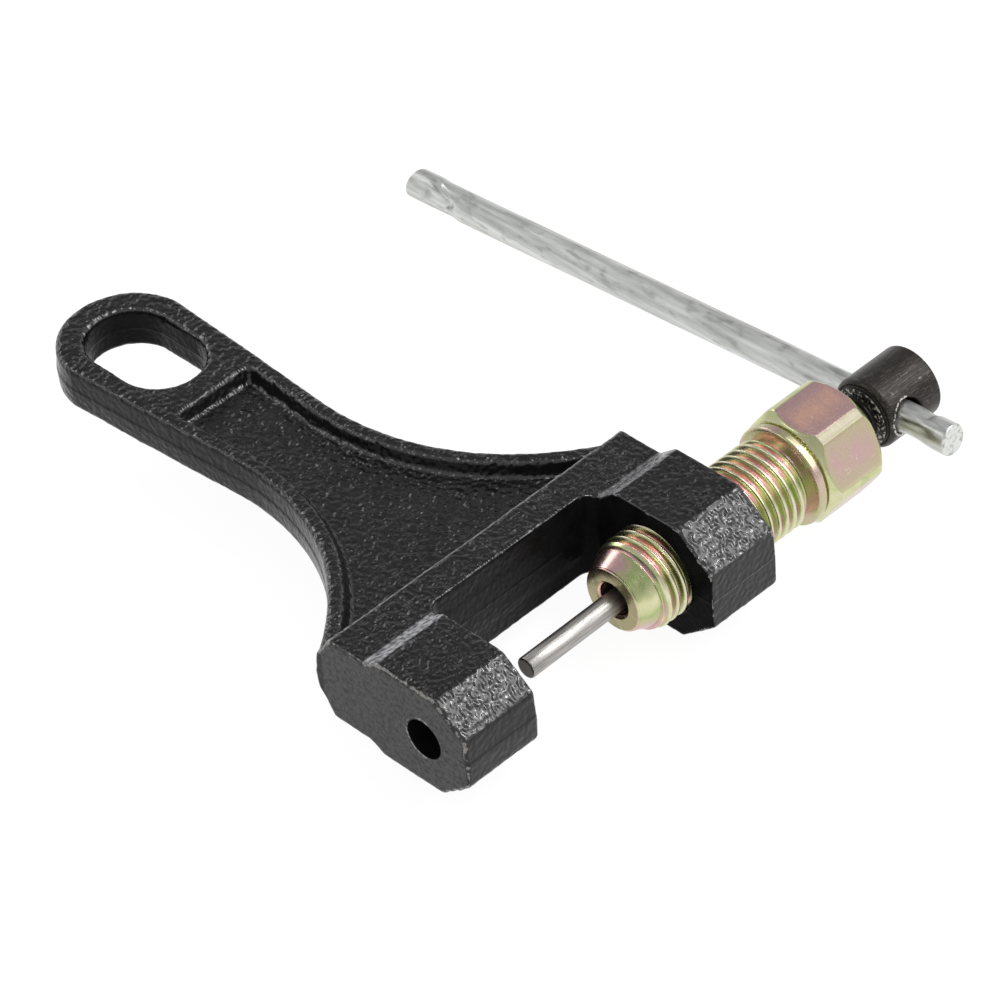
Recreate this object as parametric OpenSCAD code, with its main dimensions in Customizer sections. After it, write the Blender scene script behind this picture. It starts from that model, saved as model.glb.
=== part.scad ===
// Chain tool: a cast frame with two jaws, a hollow pressure bolt, a sprung push pin,
// a drive screw and a loose tommy bar.
// The screw axis is the line x = 0, z = 0. Y runs from the anvil to the drive head.
// The handle reaches towards -X, and Z = 0 is the casting's parting plane.
// The origin is the mouth of the anvil bore, on the front jaw's inner face.

/* [Jaws] */
// Depth of the front jaw, along the screw
front_jaw_depth = 17; // [14:0.5:20]
// Half thickness of the front jaw
front_jaw_half = 10.8; // [10.2:0.1:11.6]
// How far the front jaw reaches past the screw axis
front_jaw_nose = 10; // [9:0.5:12]
// Clear width between the jaws
jaw_gap = 39.6; // [38:0.2:42]
// Depth of the back jaw, along the screw
back_jaw_depth = 16.3; // [14:0.1:18]
// Half thickness of the back jaw
back_jaw_half = 12.4; // [11.8:0.1:13.2]
// How far the back jaw reaches past the screw axis
back_jaw_nose = 13.8; // [13:0.2:16]
// Diameter of the hole through the anvil
anvil_bore_d = 8; // [7:0.2:9]

/* [Spine] */
// Distance from the screw axis to the spine's inner wall
throat_depth = 15.7; // [14:0.1:17]
// Distance from the screw axis to the spine's outer wall
spine_reach = 22.8; // [21:0.2:25]
// Thickness of the spine
spine_thickness = 18.2; // [17:0.2:20]

/* [Handle] */
// Distance from the screw axis to the far end of the hang ring
handle_reach = 128.1; // [115:0.1:140]
// Thickness of the ring, neck and rims
rim_thickness = 9; // [7:0.5:11]
// Width of the raised rims
rim_width = 2.8; // [2.2:0.2:4]
// Thickness of the web between the rims
web_thickness = 3.2; // [2:0.2:5]
// Outer radius of the hang ring
ring_radius = 13.3; // [12:0.1:15]
// Width of the slot in the hang ring
slot_width = 16.6; // [12:0.2:18]
// Length of the slot in the hang ring
slot_length = 25.2; // [20:0.1:30]
// Wall between the slot and the handle's far end
slot_wall = 5.8; // [4:0.1:8]

/* [Pressure bolt] */
// Outside diameter of the bolt's thread
bolt_d = 18; // [17.6:0.2:18]
// Pitch of the bolt's thread
bolt_pitch = 2; // [1.5:0.5:2]
// Distance from the anvil to the bolt's nose
nose_y = 29.1; // [26:0.1:32]
// Outside diameter of the drive screw's thread
screw_d = 10; // [9:0.2:10]
// Pitch of the drive screw's thread
screw_pitch = 1.5; // [1.25:0.25:1.5]
// Hexagon size across its flats
hex_af = 21; // [19:1:22]

/* [Pin and spring] */
// Diameter of the push pin
pin_d = 4.2; // [3.6:0.1:4.6]
// Distance from the anvil to the pin's tip
pin_tip_y = 7.5; // [6:0.5:12]
// Wire thickness of the return spring
spring_wire = 0.9; // [0.7:0.1:1]

/* [Drive head and bar] */
// Distance from the anvil to the underside of the drive head
head_y = 93.5; // [92.5:0.5:96]
// Diameter of the drive head
head_d = 14.4; // [13:0.2:16]
// Diameter of the tommy bar
bar_d = 6.2; // [5.6:0.1:6.4]
// Reach of the tommy bar on the handle side
bar_long_reach = 121; // [90:1:125]
// Reach of the tommy bar on the free side
bar_short_reach = 18; // [17:0.5:24]
// How far the tommy bar leans, in degrees
bar_lean = 4.8; // [0:0.2:6]

/* [Hidden] */
$fn = 96;
CUT = 1;               // how far a cutting tool runs past a face
FIT = 0.05;            // running clearance on a radius
EDGE = 0.3;            // small bevel on turned edges

// A thread's depth over its pitch, and where each turn leaves its root, reaches its
// crest, leaves the crest and is back at the root, over the pitch.
thread_depth = 0.6134;
thread_steps = [0.06, 0.44, 0.56, 0.94];

// casting
body_end_y = jaw_gap + back_jaw_depth;
handle_y = (body_end_y - front_jaw_depth) / 2;
body_half_width = (body_end_y + front_jaw_depth) / 2;
spine_half = spine_thickness / 2;
throat_fillet = 3;
front_foot_x = -13.9;
front_shoulder_x = -11.1;
front_bevel_x = 6.7;   // width of the bevel at the nose, along X
front_bevel_z = 5.4;   // and along Z
back_foot_x = -13.2;
back_shoulder_x = -9.2;
back_bevel_x = 7.9;
back_bevel_z = 6.5;
neck_half = 10.4;      // half width of the neck where the flares start
flare_start_x = -71;
flare_radius = 54;
pocket_end_x = -91.5;  // the web's end towards the ring
pocket_end_half = 8;
pocket_top = 3.2;      // rim left at the flares' tips

// bolt, measured along the screw from its own nose
bolt_root_r = bolt_d / 2 - thread_depth * bolt_pitch;
nose_r = 6.4;
cone_length = 4;
bolt_thread_end = 42;
collar_start = 42.7;
collar_r = 10.1;
collar_bevel = 0.4;
hex_start = 45;
hex_bevel = 1.3;       // length of the turned bevels at the hexagon's corners
bolt_length = 58.5;
hex_turned_r = hex_af * 0.5535;      // the corners are turned down to this radius
hex_turn = 4;
mouth_r = 3.4;
lip_length = 3;
screw_bore_r = screw_d / 2 + FIT;

// pin, spring and screw, measured along the screw from the anvil
spring_seat_y = nose_y + lip_length;
spring_length = 14.5;
spring_coils = 8;
spring_r = 3.7;        // to the middle of the wire
spring_gap = 0.05;     // left at each end of the spring
pin_head_y = spring_seat_y + spring_length;
pin_head_length = 3;
pin_head_r = screw_d / 2 - 0.3;
pin_bevel = 0.25;
screw_tip_y = pin_head_y + pin_head_length;
screw_thread_start = 0.5;
screw_thread_stop = 1.5; // plain stretch left below the head
screw_root_r = screw_d / 2 - thread_depth * screw_pitch;
head_length = 13.8;
head_chamfer = 0.8;
cross_hole_y = head_y + 5.1;
cross_hole_r = bar_d / 2 + 0.4;
bar_end_r = bar_d / 2 + 0.05;
long_pinch = [5.6, 11.2]; // where the pinch begins and ends, from the bar's end
short_pinch = [3.2, 7.4];
pinch_thickness = 5.7;    // the bar is pressed to this thickness
pinch_r = cross_hole_r + 0.3;
pinch_turn = 52;          // the pinch bulges at this angle from the casting's flat side

// Stands its children on the screw axis at y, with their own Z along +Y.
module on_screw(y) {
    translate([0, y, 0]) rotate([-90, 0, 0]) children();
}

// ---------------------------------------------------------------- casting

// One jaw, as a prism that runs towards -Y from y = 0.
module jaw(depth, half, nose, foot_x, shoulder_x, bevel_x, bevel_z) {
    upper = [
        [foot_x, spine_half],
        [shoulder_x, half],
        [nose - bevel_x, half],
        [nose, half - bevel_z]
    ];
    lower = [for (i = [3:-1:0]) [upper[i][0], -upper[i][1]]];
    wall = [[-spine_reach, -spine_half], [-spine_reach, spine_half]];
    rotate([90, 0, 0])
        linear_extrude(depth)
            polygon(concat(upper, lower, wall));
}

// A concave quarter fillet in the corner at [x, y]; side is +1 or -1 along Y.
module throat_corner(y, side) {
    translate([-throat_depth, y])
        difference() {
            translate([-CUT, side > 0 ? 0 : -throat_fillet])
                square([throat_fillet + CUT, throat_fillet]);
            translate([throat_fillet, side * throat_fillet])
                circle(throat_fillet);
        }
}

module spine_outline() {
    translate([-spine_reach, -front_jaw_depth])
        square([spine_reach - throat_depth, front_jaw_depth + body_end_y]);
    throat_corner(0, 1);
    throat_corner(jaw_gap, -1);
}

// The two flares, from the neck out to the spine's ends, drawn about y = 0.
// inset moves both edges in towards the middle, which draws the web instead.
module flares(inset, limit) {
    difference() {
        translate([flare_start_x, -limit])
            square([-spine_reach - flare_start_x, 2 * limit]);
        for (side = [-1, 1])
            translate([flare_start_x, side * (neck_half + flare_radius)])
                circle(flare_radius + inset, $fn = 180);
    }
}

module handle_outline() {
    ring_x = -handle_reach + ring_radius;
    circle_x = [ring_x, 0];
    translate([0, handle_y]) {
        translate(circle_x) circle(ring_radius);
        polygon([
            [ring_x, ring_radius],
            [ring_x, -ring_radius],
            [flare_start_x, -neck_half],
            [flare_start_x, neck_half]
        ]);
        flares(0, body_half_width);
    }
}

module pocket_outline() {
    translate([0, handle_y]) {
        polygon([
            [pocket_end_x, pocket_end_half],
            [pocket_end_x, -pocket_end_half],
            [flare_start_x, rim_width - neck_half],
            [flare_start_x, neck_half - rim_width]
        ]);
        flares(rim_width, body_half_width - pocket_top);
    }
}

module slot_outline() {
    slot_r = slot_width / 2;
    near = -handle_reach + slot_wall + slot_length - slot_r;
    far = near - slot_length + slot_width;
    translate([0, handle_y]) {
        for (x = [near, far])
            translate([x, 0]) circle(slot_r);
        translate([far, -slot_r]) square([near - far, slot_width]);
    }
}

module handle() {
    pocket_depth = (rim_thickness - web_thickness) / 2;
    difference() {
        translate([0, 0, -rim_thickness / 2])
            linear_extrude(rim_thickness) handle_outline();
        for (z = [web_thickness / 2, -web_thickness / 2 - pocket_depth - CUT])
            translate([0, 0, z])
                linear_extrude(pocket_depth + CUT) pocket_outline();
        translate([0, 0, -rim_thickness])
            linear_extrude(2 * rim_thickness) slot_outline();
    }
}

module cast_body() {
    color([0.1, 0.1, 0.11])
        difference() {
            union() {
                handle();
                translate([0, 0, -spine_half])
                    linear_extrude(spine_thickness) spine_outline();
                jaw(front_jaw_depth, front_jaw_half, front_jaw_nose,
                    front_foot_x, front_shoulder_x, front_bevel_x, front_bevel_z);
                translate([0, body_end_y, 0])
                    jaw(back_jaw_depth, back_jaw_half, back_jaw_nose,
                        back_foot_x, back_shoulder_x, back_bevel_x, back_bevel_z);
            }
            on_screw(-front_jaw_depth - CUT)
                cylinder(r = anvil_bore_d / 2, h = front_jaw_depth + 2 * CUT);
            on_screw(jaw_gap - CUT)
                cylinder(r = bolt_d / 2 + FIT, h = back_jaw_depth + 2 * CUT);
        }
}

// ---------------------------------------------------------------- threads

// Profile points of a thread's turns, from start up to end. Each turn is one full ring.
function thread_points(start, end, pitch, root_r, crest_r) =
    let (turns = floor((end - start) / pitch))
    [for (i = [0:turns - 1], step = [0:3])
        [step == 1 || step == 2 ? crest_r : root_r,
         start + (i + thread_steps[step]) * pitch]];

// ---------------------------------------------------------------- pressure bolt

module bolt_shank() {
    rotate_extrude()
        polygon(concat(
            [[0, 0], [nose_r - EDGE, 0], [nose_r, EDGE], [bolt_root_r, cone_length]],
            thread_points(cone_length, bolt_thread_end, bolt_pitch, bolt_root_r, bolt_d / 2),
            [[bolt_root_r, bolt_thread_end], [bolt_root_r, collar_start - EDGE],
             [collar_r - collar_bevel, collar_start], [collar_r, collar_start + collar_bevel],
             [collar_r, hex_start + EDGE], [0, hex_start + EDGE]]
        ));
}

module bolt_hex() {
    flat_r = hex_af / 2;
    hex_length = bolt_length - hex_start;
    translate([0, 0, hex_start])
        intersection() {
            rotate([0, 0, hex_turn])
                cylinder(r = flat_r / cos(30), h = hex_length, $fn = 6);
            rotate_extrude()
                polygon([
                    [0, 0],
                    [flat_r, 0],
                    [hex_turned_r, hex_bevel],
                    [hex_turned_r, hex_length - hex_bevel],
                    [flat_r, hex_length],
                    [0, hex_length]
                ]);
        }
}

module hollow_bolt() {
    color([0.78, 0.72, 0.45])
        on_screw(nose_y)
            difference() {
                union() {
                    bolt_shank();
                    bolt_hex();
                }
                translate([0, 0, -CUT])
                    cylinder(r = mouth_r, h = lip_length + 2 * CUT);
                translate([0, 0, lip_length])
                    cylinder(r = screw_bore_r, h = bolt_length);
            }
}

// ---------------------------------------------------------------- pin and spring

module push_pin() {
    pin_r = pin_d / 2;
    shank = pin_head_y - pin_tip_y;
    color([0.75, 0.75, 0.74])
        on_screw(pin_tip_y)
            rotate_extrude()
                polygon([
                    [0, 0],
                    [pin_r - pin_bevel, 0],
                    [pin_r, pin_bevel],
                    [pin_r, shank],
                    [pin_head_r, shank],
                    [pin_head_r, shank + pin_head_length - EDGE],
                    [pin_head_r - EDGE, shank + pin_head_length],
                    [0, shank + pin_head_length]
                ]);
}

module return_spring() {
    ring_steps = 16;
    sides = 8;
    rings = spring_coils * ring_steps;
    wire_r = spring_wire / 2;
    rise = spring_length - spring_wire - 2 * spring_gap;
    points = [
        for (i = [0:rings], j = [0:sides - 1])
            let (turn = 360 * i / ring_steps, around = 360 * j / sides,
                 r = spring_r + wire_r * cos(around),
                 z = wire_r + spring_gap + rise * i / rings + wire_r * sin(around))
            [r * cos(turn), r * sin(turn), z]
    ];
    skin = [
        for (i = [0:rings - 1], j = [0:sides - 1])
            let (a = i * sides + j, b = i * sides + (j + 1) % sides)
            [a, b, b + sides, a + sides]
    ];
    first = [[for (j = [sides - 1:-1:0]) j]];
    last = [[for (j = [0:sides - 1]) rings * sides + j]];
    color([0.6, 0.6, 0.62])
        on_screw(spring_seat_y)
            polyhedron(points, concat(skin, first, last));
}

// ---------------------------------------------------------------- drive screw

module drive_screw() {
    head_r = head_d / 2;
    shank = head_y - screw_tip_y;
    color([0.14, 0.13, 0.13])
        difference() {
            on_screw(screw_tip_y)
                rotate_extrude()
                    polygon(concat(
                        [[0, 0], [screw_root_r, 0]],
                        thread_points(screw_thread_start, shank - screw_thread_stop,
                                      screw_pitch, screw_root_r, screw_d / 2),
                        [[screw_root_r, shank],
                         [head_r - head_chamfer, shank],
                         [head_r, shank + head_chamfer],
                         [head_r, shank + head_length - head_chamfer / 2],
                         [head_r - head_chamfer / 2, shank + head_length],
                         [0, shank + head_length]]
                    ));
            translate([0, cross_hole_y, 0])
                rotate([0, 90 - bar_lean, 0])
                    cylinder(r = cross_hole_r, h = 2 * head_d, center = true);
        }
}

// ---------------------------------------------------------------- tommy bar

// A bar end with a pinch behind it. The pinch bulges to both sides of the bar, which
// stops it at the cross hole.
module bar_end(pinch) {
    cylinder(r = bar_end_r, h = pinch[0]);
    translate([0, 0, pinch[0]])
        intersection() {
            cylinder(r = pinch_r, h = pinch[1] - pinch[0]);
            rotate([0, 0, -pinch_turn])
                translate([-pinch_thickness / 2, -pinch_r, -CUT])
                    cube([pinch_thickness, 2 * pinch_r, pinch[1] + CUT]);
        }
}

module tommy_bar() {
    bar_length = bar_long_reach + bar_short_reach;
    color([0.8, 0.8, 0.79])
        translate([0, cross_hole_y, 0])
            rotate([0, 90 - bar_lean, 0])
                translate([0, 0, -bar_long_reach]) {
                    bar_end(long_pinch);
                    translate([0, 0, long_pinch[1]])
                        cylinder(r = bar_d / 2, h = bar_length - long_pinch[1] - short_pinch[1]);
                    translate([0, 0, bar_length])
                        mirror([0, 0, 1]) bar_end(short_pinch);
                }
}

cast_body();
hollow_bolt();
push_pin();
return_spring();
drive_screw();
tommy_bar();
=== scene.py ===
"""Looks of the chain tool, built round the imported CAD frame.

Lengths are in millimetres until a mesh is made, and the screw axis is the line x = 0, z = 0.
"""
import math

import bmesh
import bpy
import numpy as np
from mathutils import Matrix, Vector


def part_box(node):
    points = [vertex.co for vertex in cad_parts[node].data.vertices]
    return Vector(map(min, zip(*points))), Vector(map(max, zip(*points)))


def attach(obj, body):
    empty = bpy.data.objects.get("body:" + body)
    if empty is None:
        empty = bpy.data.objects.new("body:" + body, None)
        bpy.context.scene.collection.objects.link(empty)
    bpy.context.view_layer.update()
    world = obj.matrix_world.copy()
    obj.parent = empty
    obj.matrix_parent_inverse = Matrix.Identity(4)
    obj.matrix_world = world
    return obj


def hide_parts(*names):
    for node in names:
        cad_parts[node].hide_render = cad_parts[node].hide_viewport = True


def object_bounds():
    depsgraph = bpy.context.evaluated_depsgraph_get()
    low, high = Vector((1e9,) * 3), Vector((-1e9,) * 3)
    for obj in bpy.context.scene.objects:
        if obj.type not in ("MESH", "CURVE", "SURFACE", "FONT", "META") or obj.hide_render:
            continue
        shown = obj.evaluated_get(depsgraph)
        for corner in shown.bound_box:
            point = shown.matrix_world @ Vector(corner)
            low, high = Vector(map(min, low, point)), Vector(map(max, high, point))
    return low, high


MM = 0.001
SEED = 20
# a grid starts this many steps before its box, so that flat faces don't fall on its points
GRID_SHIFT = 1.37
TURNED_SIDES = 96

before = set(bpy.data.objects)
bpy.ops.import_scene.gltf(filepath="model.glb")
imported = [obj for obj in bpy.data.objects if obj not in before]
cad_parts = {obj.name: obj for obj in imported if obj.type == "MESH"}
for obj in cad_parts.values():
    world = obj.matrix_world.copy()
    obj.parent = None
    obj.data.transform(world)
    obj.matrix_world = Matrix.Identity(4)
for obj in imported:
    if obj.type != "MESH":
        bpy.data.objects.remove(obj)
cad_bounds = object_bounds()


def box_mm(node):
    """The lowest and highest corners of a CAD node, in millimetres."""
    low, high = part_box(node)
    return np.array(low) / MM, np.array(high) / MM


cast_low, cast_high = box_mm("cast_body")
bolt_low, bolt_high = box_mm("hollow_bolt")
pin_low, pin_high = box_mm("push_pin")
spring_low, spring_high = box_mm("return_spring")
screw_low, screw_high = box_mm("drive_screw")


# ------------------------------------------------------------------ fields
# A field is negative inside a solid, and close to the surface it is the distance to it.


def round_max(a, b, radius):
    """Intersection of two fields, with a convex edge of this radius."""
    return np.minimum(-radius, np.maximum(a, b)) + np.hypot(
        np.maximum(radius + a, 0), np.maximum(radius + b, 0)
    )


def round_min(a, b, radius):
    """Union of two fields, with a fillet of this radius."""
    return -round_max(-a, -b, radius)


def line_field(x, y, start, end):
    """Signed distance to the line from start to end; its left side is inside."""
    dx, dy = end[0] - start[0], end[1] - start[1]
    return ((x - start[0]) * dy - (y - start[1]) * dx) / math.hypot(dx, dy)


def polygon_field(x, y, corners):
    """Signed distance to a closed polygon."""
    nearest = np.inf
    inside = np.zeros(np.broadcast(x, y).shape, bool)
    for (ax, ay), (bx, by) in zip(corners, corners[1:] + corners[:1]):
        ex, ey = bx - ax, by - ay
        px, py = x - ax, y - ay
        along = np.clip((px * ex + py * ey) / (ex * ex + ey * ey), 0, 1)
        nearest = np.minimum(nearest, (px - along * ex) ** 2 + (py - along * ey) ** 2)
        if ay != by:
            crossing = (ay > y) != (by > y)
            inside ^= crossing & (px < ex * (y - ay) / ey)
    return np.where(inside, -1, 1) * np.sqrt(nearest)


def surface_net(field, low, step):
    """Points and quads of a field's surface: one point in each grid cell that it crosses."""
    cells, points = [], []
    unit = np.eye(3, dtype=int)
    for axis in range(3):
        count = field.shape[axis]
        near = np.take(field, range(count - 1), axis)
        far = np.take(field, range(1, count), axis)
        at = np.argwhere((near < 0) != (far < 0))
        a, b = near[tuple(at.T)], far[tuple(at.T)]
        point = at.astype(float)
        point[:, axis] += a / (a - b)
        u, v = unit[(axis + 1) % 3], unit[(axis + 2) % 3]
        around = np.stack([at, at - u, at - u - v, at - v], 1)
        ids = np.ravel_multi_index(np.moveaxis(around, 2, 0), field.shape)
        ids[a >= 0] = ids[a >= 0][:, ::-1]
        cells.append(ids)
        points.append(np.repeat(point[:, None], 4, 1))
    cells, points = np.concatenate(cells), np.concatenate(points)
    _, quads = np.unique(cells, return_inverse=True)
    quads = quads.reshape(cells.shape)
    shared = np.bincount(quads.ravel())
    place = [np.bincount(quads.ravel(), points[..., i].ravel()) / shared for i in range(3)]
    return np.array(low) + np.stack(place, 1) * step, quads


def net_of(field_of, low, high, step):
    """The surface of field_of(x, y, z) between two corners, as points and quads."""
    low = np.array(low) - GRID_SHIFT * step
    axes = [np.arange(low[i], high[i] + 2 * step, step) for i in range(3)]
    x, y, z = np.ix_(*axes)
    return surface_net(field_of(x, y, z), low, step)


# ------------------------------------------------------------------ meshes


def new_object(name, points, faces):
    """A mesh object from points in millimetres."""
    mesh = bpy.data.meshes.new(name)
    mesh.from_pydata((np.asarray(points) * MM).tolist(), [], np.asarray(faces).tolist())
    mesh.validate()
    piece = bpy.data.objects.new(name, mesh)
    bpy.context.scene.collection.objects.link(piece)
    return piece


def tube(name, rings):
    """A closed object over rings of points in millimetres, with its two ends filled."""
    rings = np.asarray(rings, float)
    count, sides = rings.shape[:2]
    ids = np.arange(count * sides).reshape(count, sides)
    a, b = ids[:-1], ids[1:]
    quads = np.stack([a, b, np.roll(b, -1, 1), np.roll(a, -1, 1)], -1)
    piece = new_object(name, rings.reshape(-1, 3), quads.reshape(-1, 4))
    shape = bmesh.new()
    shape.from_mesh(piece.data)
    bmesh.ops.holes_fill(shape, edges=shape.edges)
    bmesh.ops.recalc_face_normals(shape, faces=shape.faces)
    shape.to_mesh(piece.data)
    shape.free()
    return piece


def turned_rings(radii, ys, sides):
    """Rings round the screw axis. radii is one radius per ring, or one per ring and side."""
    turn = np.arange(sides) * 2 * math.pi / sides
    radii = np.broadcast_to(np.asarray(radii, float).reshape(len(ys), -1), (len(ys), sides))
    across = np.broadcast_to(np.asarray(ys, float)[:, None], radii.shape)
    return np.stack([radii * np.sin(turn), across, radii * np.cos(turn)], -1)


def turned_piece(name, profile):
    """A closed object turned round the screw axis, from pairs of radius and y."""
    return tube(name, turned_rings([[r] for r, _ in profile], [y for _, y in profile], TURNED_SIDES))


def combine(piece, other, operation):
    """Boolean of two closed pieces; other is used up."""
    cutter = piece.modifiers.new("combine", "BOOLEAN")
    cutter.operation = operation
    cutter.solver = "MANIFOLD"
    cutter.object = other
    bake_modifiers(piece)
    bpy.data.objects.remove(other)


def bake_modifiers(piece):
    """Applies the piece's modifiers to its mesh."""
    view = bpy.context.evaluated_depsgraph_get()
    mesh = bpy.data.meshes.new_from_object(piece.evaluated_get(view))
    piece.modifiers.clear()
    piece.data = mesh


def shade(piece, sharp_angle):
    """Smooth shading, with creases where faces meet at more than this angle in degrees."""
    piece.data.shade_smooth()
    piece.data.set_sharp_from_angle(angle=math.radians(sharp_angle))


def finish_piece(piece, node, material, sharp_angle):
    """Shades the piece, gives it its material, and puts it in the place of a CAD node."""
    shade(piece, sharp_angle)
    piece.data.materials.clear()
    piece.data.materials.append(material)
    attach(piece, node)
    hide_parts(node)
    return piece


def points_of(piece):
    """The piece's points in millimetres."""
    count = len(piece.data.vertices)
    points = np.empty(count * 3, np.float32)
    piece.data.vertices.foreach_get("co", points)
    return points.reshape(count, 3) / MM


def normals_of(piece):
    normals = np.empty(len(piece.data.vertices) * 3, np.float32)
    piece.data.vertex_normals.foreach_get("vector", normals)
    return normals.reshape(-1, 3)


def edges_of(piece):
    """The two point numbers of each edge."""
    pairs = np.empty(len(piece.data.edges) * 2, np.int32)
    piece.data.edges.foreach_get("vertices", pairs)
    return pairs.reshape(-1, 2)


def set_points(piece, points):
    piece.data.vertices.foreach_set("co", (points * MM).astype(np.float32).ravel())
    piece.data.update()


def set_attribute(piece, name, values):
    """Stores one number per point, for the materials to read."""
    layer = piece.data.attributes.new(name, "FLOAT", "POINT")
    layer.data.foreach_set("value", np.asarray(values, np.float32))


def waves(points, longest, shortest, count, seed):
    """Smooth random field with waves between two lengths, about 1 high at its peaks."""
    rng = np.random.default_rng(seed)
    direction = rng.normal(size=(count, 3))
    direction /= np.linalg.norm(direction, axis=1, keepdims=True)
    lengths = np.exp(rng.uniform(math.log(shortest), math.log(longest), count))
    phase = rng.uniform(0, 2 * math.pi, count)
    total = np.zeros(len(points))
    for way, length, start in zip(direction, lengths, phase):
        total += np.sin(points @ way * (2 * math.pi / length) + start)
    return total / math.sqrt(2 * count)


def smooth_step(value, low, high):
    """0 below low, 1 above high, and an S-shaped rise between them."""
    share = np.clip((value - low) / (high - low), 0, 1)
    return share * share * (3 - 2 * share)


# ------------------------------------------------------------------ casting

TAIL_X = cast_low[0]
FRONT_Y, BACK_Y = cast_low[1], cast_high[1]
MIDDLE_Y = (FRONT_Y + BACK_Y) / 2
GAP = 39.6
SPINE_INNER, SPINE_OUTER, SPINE_HALF = -15.7, -22.8, 9.1
END_BULGE = 3.1
RIM_HALF, WEB_HALF, RIM_WIDTH = 4.5, 1.6, 2.8
RING_R, SLOT_R, SLOT_LENGTH, SLOT_WALL = 13.3, 8.3, 25.2, 5.8
# room at the tail for the draft and the rounding, inside the CAD's box
RING_INSET = 0.36
NECK_X, NECK_HALF, FLARE_R = -71, 10.4, 54
# how much fuller the outline gets, over these stretches of x
NECK_GROWTH, NECK_STRETCH = 0.2, (-112, -98)
FLARE_GROWTH, FLARE_STRETCH = 0.6, (-48, -28)
POCKET_X, POCKET_TOP, POCKET_SLOPE = -91.5, 3.2, 0.45
FRONT_BORE_R, BACK_BORE_R = 4, 9.05
DRAFT = math.tan(math.radians(2.5))
JAW_PARTING, MOULD_MISMATCH = 9, 0.16
# what the outline grows by, as its rounded edge would otherwise draw in from the true outline
ROUNDING_SHARE = 0.12
# foot and shoulder of the step, nose, half thickness and bevel of each jaw
FRONT_JAW = dict(foot=-13.9, shoulder=-11.1, nose=10, half=10.8, bevel=(6.7, 5.4))
BACK_JAW = dict(foot=-13.2, shoulder=-9.2, nose=13.8, half=12.4, bevel=(7.9, 6.5))


def handle_outline():
    """Corners round the ring, neck and flares, about y = 0; the flares run on past the spine."""
    ring_x = TAIL_X + RING_R + RING_INSET
    upper = [
        (ring_x + RING_R * math.cos(a), RING_R * math.sin(a))
        for a in np.linspace(math.pi, math.pi / 2 + 0.06, 36)
    ]
    reach = NECK_X - SPINE_OUTER - 2
    last = math.asin(-reach / FLARE_R)
    upper += [
        (NECK_X + FLARE_R * math.sin(a), NECK_HALF + FLARE_R * (1 - math.cos(a)))
        for a in np.linspace(-0.03, last, 40)
    ]
    upper.append((SPINE_INNER - 2, upper[-1][1]))
    return upper + [(x, -y) for x, y in reversed(upper[1:])]


def pocket_field(x, across, up, outline):
    """The recesses inside the rim, down to the web."""
    pocket = round_max(outline + RIM_WIDTH, np.abs(across) + POCKET_TOP + FRONT_Y - MIDDLE_Y, 2)
    pocket = round_max(pocket, POCKET_X - x, 1)
    walls = (pocket + (RIM_HALF - up) * POCKET_SLOPE) / math.hypot(1, POCKET_SLOPE)
    return round_max(walls, WEB_HALF - up, 0.6)


def slot_field(x, across, up):
    """The hang slot, a little wider at the faces than at mid-height."""
    far = TAIL_X + SLOT_WALL + SLOT_R
    near = far + SLOT_LENGTH - 2 * SLOT_R
    beyond = x - np.clip(x, far, near)
    return np.hypot(beyond, across) - SLOT_R + (RIM_HALF / 2 - up) * DRAFT


def handle_field(x, y, z):
    """Ring, neck and flared web, with the pockets and the slot taken out."""
    across = y - MIDDLE_Y
    up = np.abs(z)
    outline = polygon_field(x, across, handle_outline()) - ROUNDING_SHARE
    outline = outline - NECK_GROWTH * smooth_step(x, *NECK_STRETCH)
    outline = outline - FLARE_GROWTH * smooth_step(x, *FLARE_STRETCH)
    side = outline - (RIM_HALF - up) * DRAFT - mismatch(z)
    plate = round_max(side, up - RIM_HALF, 1)
    plate = round_max(plate, -pocket_field(x, across, up, outline), 0.6)
    return round_max(plate, -slot_field(x, across, up), 1.2)


def mismatch(z):
    """The lower half of the mould stands out a little past the parting line at z = 0."""
    return MOULD_MISMATCH * smooth_step(-z, -0.2, 0.25)


def jaw_profile(x, up, foot, shoulder, nose, half, bevel):
    """Side view of a jaw with the spine's height behind it."""
    step = line_field(x, up, (shoulder, half), (foot, SPINE_HALF))
    block = round_max(step, up - half, 0.45)
    block = round_min(block, up - SPINE_HALF, 0.4)
    slant = line_field(x, up, (nose, half - bevel[1]), (nose - bevel[0], half))
    return round_max(block, slant, 0.4)


def jaw_size(y, key):
    """One size of the jaw on this side of the gap's middle."""
    return np.where(y < GAP / 2, FRONT_JAW[key], BACK_JAW[key])


def frame_field(x, y, z):
    """The spine with its two jaws, running past their ends in y."""
    up = np.abs(z)
    front, back = jaw_profile(x, up, **FRONT_JAW), jaw_profile(x, up, **BACK_JAW)
    profile = np.where(y < GAP / 2, front, back)
    from_end = np.minimum(y - FRONT_Y, BACK_Y - y)
    bulge = END_BULGE * (1 - (up / SPINE_HALF) ** 2) * (1 - smooth_step(from_end, 0, 7))
    outer = SPINE_OUTER - x - np.maximum(bulge, 0)
    plan = np.maximum(outer, x - jaw_size(y, "nose")) - (JAW_PARTING - up) * DRAFT - mismatch(z)
    gap = round_max(SPINE_INNER - x, np.maximum(-y, y - GAP), 3)
    plan = round_max(plan, -gap + up * DRAFT / 2, 0.5)
    return round_max(plan, profile, 0.4)


def casting_field(x, y, z):
    """The whole casting without its bores."""
    whole = round_min(handle_field(x, y, z), frame_field(x, y, z), 1.6)
    return round_max(whole, np.maximum(FRONT_Y - y, y - BACK_Y), 0.45)


def cylinder_piece(start, end, radius):
    """A closed cylinder on the screw axis, as a cutting tool."""
    return turned_piece("drill", [(radius, start), (radius, end)])


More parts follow.
